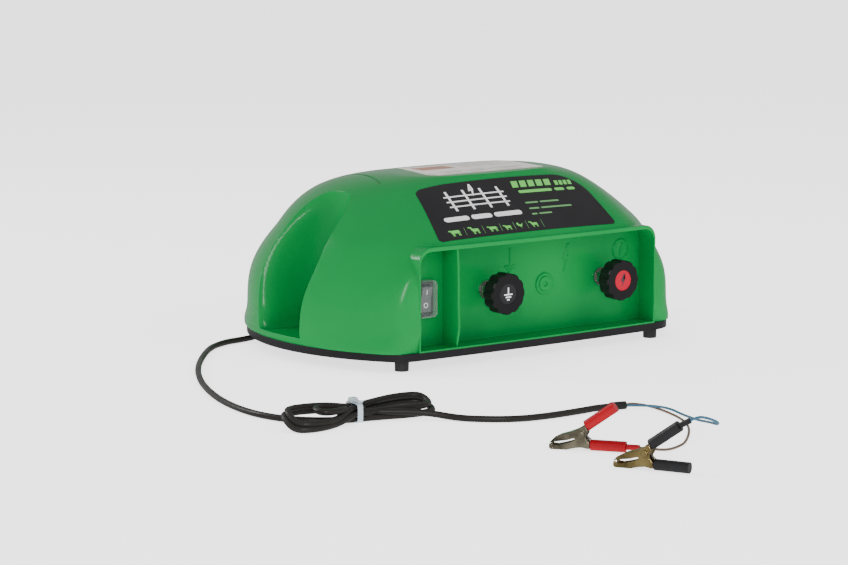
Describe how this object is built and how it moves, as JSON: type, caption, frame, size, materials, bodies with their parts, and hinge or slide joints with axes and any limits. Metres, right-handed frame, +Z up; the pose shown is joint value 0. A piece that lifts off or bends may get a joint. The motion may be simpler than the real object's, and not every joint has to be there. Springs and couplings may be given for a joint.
{
  "type": "fence energizer",
  "caption": "Domed electric fence energizer with a terminal bay of screw knobs, a rocker switch and a battery lead ending in spring clips.",
  "frame": {"origin": "middle of the housing footprint, on the plane that the rubber feet stand on", "axes": "+X to the right along the front, +Y backwards away from the terminals, +Z up"},
  "size_m": [0.5451, 0.673, 0.1532],
  "materials": {
    "housing_green": "glossy moulded green plastic",
    "front_label": "dark grey printed film with an orange peel texture",
    "top_label": "pale printed film",
    "base_plastic": "satin moulded dark grey plastic",
    "black_rubber": "matt moulded rubber",
    "zinc_steel": "zinc plated",
    "stainless": "turned stainless steel",
    "black_plastic": "satin black",
    "clear_vinyl": "clear flexible vinyl",
    "knob_plastic": "satin black moulded plastic",
    "brass": "machined",
    "earth_inlay": "satin dark grey disc",
    "fence_inlay": "glossy red disc",
    "board": "lacquered laminate",
    "core_steel": "varnished steel laminations",
    "winding": "yellow film tape over copper wire",
    "capacitor_sleeve": "blue film sleeve",
    "aluminium": "extruded",
    "block_green": "satin",
    "lead_black": "insulated wire",
    "lead_red": "insulated wire",
    "cable_black": "satin black cable sheath",
    "tie_nylon": "pale nylon",
    "shrink_black": "glossy shrink tubing",
    "wire_brown": "brown core insulation",
    "wire_blue": "blue core insulation",
    "clip_zinc": "bright zinc plate",
    "clip_yellow": "yellow passivated zinc plate",
    "spring_steel": "drawn wire",
    "clip_red_vinyl": "soft glossy red vinyl",
    "clip_black_vinyl": "soft black vinyl"
  },
  "bodies": {
    "housing": {"base_plate": "base_plastic", "black_clip_lower_jaw": "clip_yellow", "black_clip_lower_sleeve": "clip_black_vinyl", "black_clip_rivet": "clip_yellow", "black_clip_spring": "spring_steel", "board_screws": "zinc_steel", "cable_end_sleeve": "shrink_black", "cable_gland": "black_rubber", "cable_hank": "cable_black", "cable_lead_in": "cable_black", "cable_lead_out": "cable_black", "cable_tie": "tie_nylon", "circuit_board": "board", "cover_screws": "zinc_steel", "earth_lead": "lead_black", "earth_stud": "stainless", "fence_lead": "lead_red", "fence_stud": "stainless", "front_label": "front_label", "heat_sink": "aluminium", "housing_cover": "housing_green", "power_terminal_block": "block_green", "red_clip_lower_jaw": "clip_zinc", "red_clip_lower_sleeve": "clip_red_vinyl", "red_clip_rivet": "clip_zinc", "red_clip_spring": "spring_steel", "red_clip_wire_sleeve": "clip_red_vinyl", "rim_gasket": "black_rubber", "rubber_feet": "black_rubber", "storage_capacitors": "capacitor_sleeve", "supply_lead": "cable_black", "switch_body": "black_plastic", "switch_splash_cover": "clear_vinyl", "terminal_nuts": "stainless", "terminal_washers": "stainless", "thyristor": "black_plastic", "top_label": "top_label", "transformer_core": "core_steel", "transformer_winding": "winding", "wire_blue": "wire_blue", "wire_brown": "wire_brown"},
    "earth_clamp": {"earth_clamp_washer": "stainless"},
    "earth_knob_body": {"earth_knob": "knob_plastic", "earth_knob_inlay": "earth_inlay", "earth_knob_insert": "brass"},
    "fence_clamp": {"fence_clamp_washer": "stainless"},
    "fence_knob_body": {"fence_knob": "knob_plastic", "fence_knob_inlay": "fence_inlay", "fence_knob_insert": "brass"},
    "rocker": {"switch_rocker": "black_plastic"},
    "red_clip_lever": {"red_clip_upper_jaw": "clip_zinc", "red_clip_upper_sleeve": "clip_red_vinyl"},
    "black_clip_lever": {"black_clip_upper_jaw": "clip_yellow", "black_clip_upper_sleeve": "clip_black_vinyl", "black_clip_wire_sleeve": "clip_black_vinyl"}
  },
  "joints": [
    {"name": "earth_knob_travel", "type": "slide", "parent": "housing", "child": "earth_clamp", "axis": [0, -1, 0], "range_m": [0, 0.006]},
    {"name": "earth_knob_turn", "type": "hinge", "parent": "earth_clamp", "child": "earth_knob_body", "pos_m": [-0.0427, -0.125, 0.0591], "axis": [0, -1, 0], "range_deg": [0, 1730]},
    {"name": "fence_knob_travel", "type": "slide", "parent": "housing", "child": "fence_clamp", "axis": [0, -1, 0], "range_m": [0, 0.006]},
    {"name": "fence_knob_turn", "type": "hinge", "parent": "fence_clamp", "child": "fence_knob_body", "pos_m": [0.0835, -0.125, 0.0591], "axis": [0, -1, 0], "range_deg": [0, 1730]},
    {"name": "rocker_tilt", "type": "hinge", "parent": "housing", "child": "rocker", "pos_m": [-0.1083, -0.0925, 0.0577], "axis": [1, 0, 0], "range_deg": [-16, 0]},
    {"name": "red_clip_squeeze", "type": "hinge", "parent": "housing", "child": "red_clip_lever", "pos_m": [-0.20852, -0.42741, 0.012], "axis": [0.788, 0.6157, 0], "range_deg": [0, 25], "stiffness_Nm_per_rad": 0.15, "springref_deg": -11.46, "deforming": ["red_clip_spring"]},
    {"name": "black_clip_squeeze", "type": "hinge", "parent": "housing", "child": "black_clip_lever", "pos_m": [-0.21193, -0.50339, 0.012], "axis": [0.8829, 0.4695, 0], "range_deg": [0, 25], "stiffness_Nm_per_rad": 0.15, "springref_deg": -11.46, "deforming": ["black_clip_spring"]}
  ],
  "couplings": [
    {"joint": "earth_knob_turn", "follows": "earth_knob_travel", "rad_per_m": 5026.5},
    {"joint": "fence_knob_turn", "follows": "fence_knob_travel", "rad_per_m": 5026.5}
  ]
}
